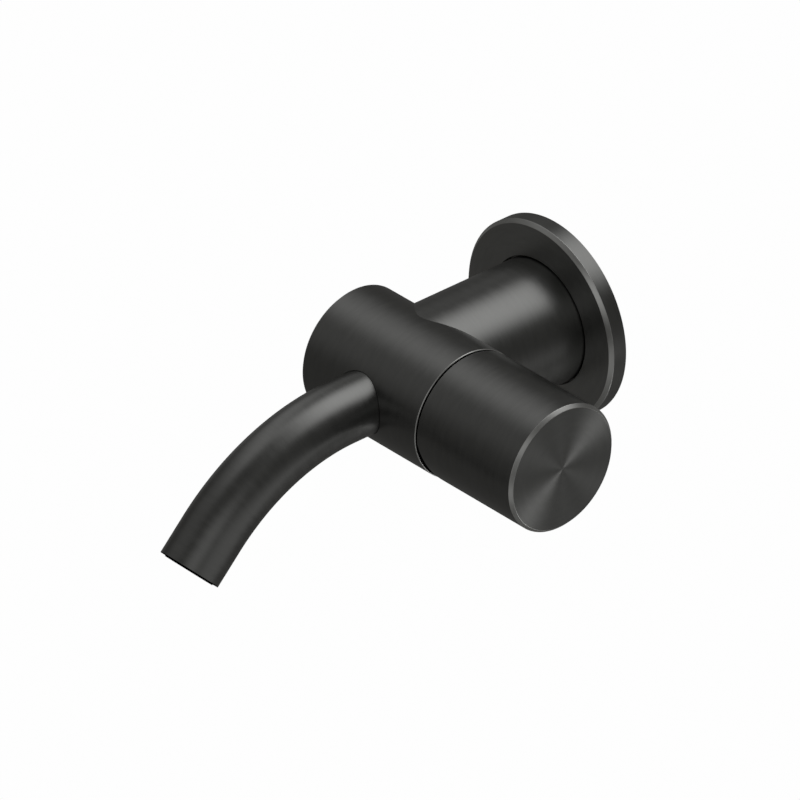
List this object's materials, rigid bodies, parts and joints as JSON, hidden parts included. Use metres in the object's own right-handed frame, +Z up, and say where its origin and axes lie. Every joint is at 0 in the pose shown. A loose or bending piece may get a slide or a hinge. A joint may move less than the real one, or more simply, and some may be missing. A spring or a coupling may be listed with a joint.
{
  "type": "basin mixer tap",
  "caption": "Wall-mounted single-lever basin mixer: round rosette and neck, level cylindrical body with a joystick knob on its end, and a down-curved tubular spout.",
  "frame": {"origin": "on the wall, at the centre of the mounting plate's back face, on the axis of the neck", "axes": "+X along the body towards the knob, -Y out of the wall along the neck, +Z up"},
  "size_m": [0.1078, 0.1648, 0.075],
  "materials": {
    "gunmetal": "dark gunmetal coating over brushed stainless steel",
    "steel": "plain turned stainless steel",
    "black_steel": "blackened steel screw",
    "black_trim": "satin black",
    "brass": "machined brass",
    "rubber": "moulded rubber",
    "ceramic": "lapped alumina",
    "black_plastic": "moulded black plastic",
    "white_plastic": "moulded white plastic"
  },
  "bodies": {
    "tap": {"mounting_plate": "steel", "wall_gasket": "rubber", "rosette": "gunmetal", "rosette_o_ring": "rubber", "neck_tube": "gunmetal", "neck_grub_screws": "black_steel", "supply_manifold": "brass", "inlet_strainers": "steel", "manifold_o_rings": "rubber", "manifold_screws": "steel", "mixer_body": "gunmetal", "spout_tube": "gunmetal", "spout_connector": "brass", "spout_o_ring": "rubber", "spout_grub_screw": "black_steel", "aerator_housing": "black_trim", "aerator_insert": "black_plastic", "aerator_washer": "rubber", "cartridge_base": "white_plastic", "cartridge_seals": "rubber", "fixed_ceramic_disc": "ceramic", "cartridge_housing": "white_plastic", "cartridge_nut": "brass", "dome_cover": "black_trim"},
    "temperature_carrier": {"lever_yoke": "brass", "lever_pin": "steel"},
    "knob": {"knob_shell": "gunmetal", "knob_hub": "brass", "control_lever": "brass", "knob_grub_screw": "black_steel", "knob_screw_plug": "black_plastic"},
    "moving_disc": {"moving_ceramic_disc": "ceramic", "disc_driver": "white_plastic"}
  },
  "joints": [
    {"name": "temperature_turn", "type": "hinge", "parent": "tap", "child": "temperature_carrier", "pos_m": [0.0278, -0.063, 0], "axis": [1, 0, 0], "range_deg": [-45, 45]},
    {"name": "knob_tilt", "type": "hinge", "parent": "temperature_carrier", "child": "knob", "pos_m": [0.0278, -0.063, 0], "axis": [0, 1, 0], "range_deg": [0, 15]},
    {"name": "disc_slide", "type": "slide", "parent": "temperature_carrier", "child": "moving_disc", "axis": [0, 0, 1], "range_m": [0, 0.003]}
  ],
  "couplings": [
    {"joint": "disc_slide", "follows": "knob_tilt", "m_per_rad": 0.011418}
  ]
}
